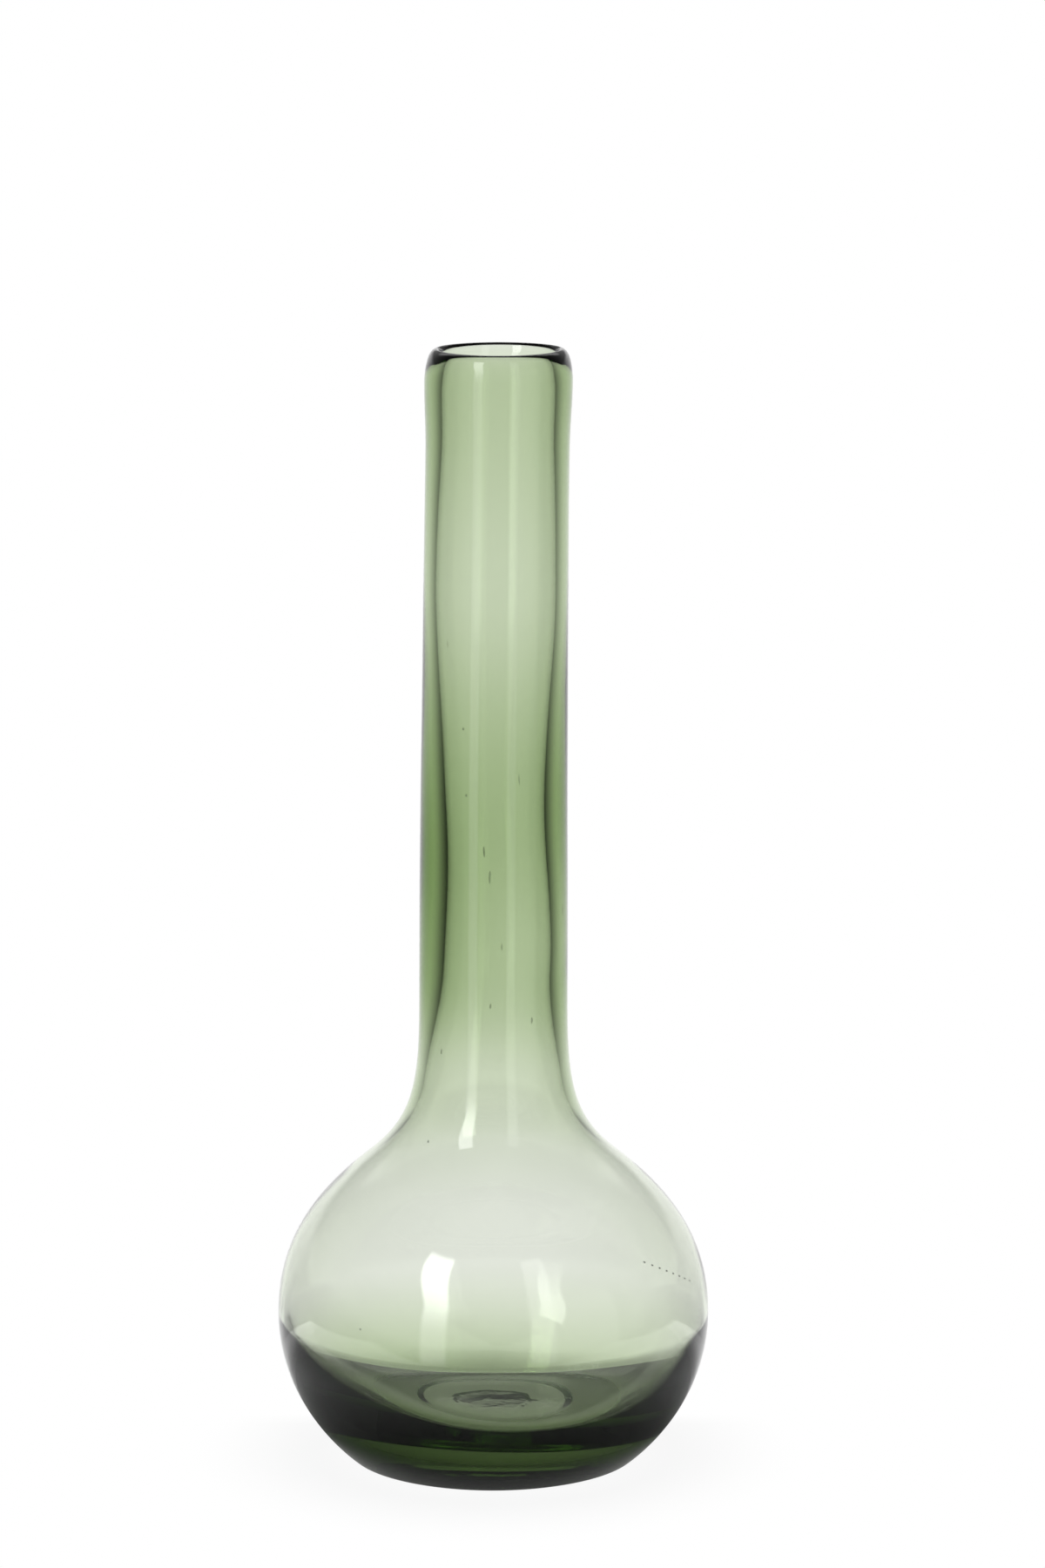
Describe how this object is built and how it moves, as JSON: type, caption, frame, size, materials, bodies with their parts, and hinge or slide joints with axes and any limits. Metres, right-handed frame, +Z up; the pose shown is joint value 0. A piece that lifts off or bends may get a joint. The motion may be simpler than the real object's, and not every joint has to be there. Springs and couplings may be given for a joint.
{
  "type": "flask vase",
  "caption": "Flask vase: a hand-blown clear green glass vessel with a round bulb on a heavy flat base, a long thick-walled neck and a rolled open lip.",
  "frame": {"origin": "centre of the flat base, on the surface that the vase stands on", "axes": "+Z up along the neck; the neck bends very slightly towards +X; -Y faces the picture's camera"},
  "size_m": [0.1086, 0.1086, 0.28],
  "materials": {
    "green_glass": "solid pale green clear glass, fire polished, light where it is thin and deep bottle green in the thick base"
  },
  "bodies": {
    "root": {"blown_glass_vessel": "green_glass"}
  },
  "joints": []
}
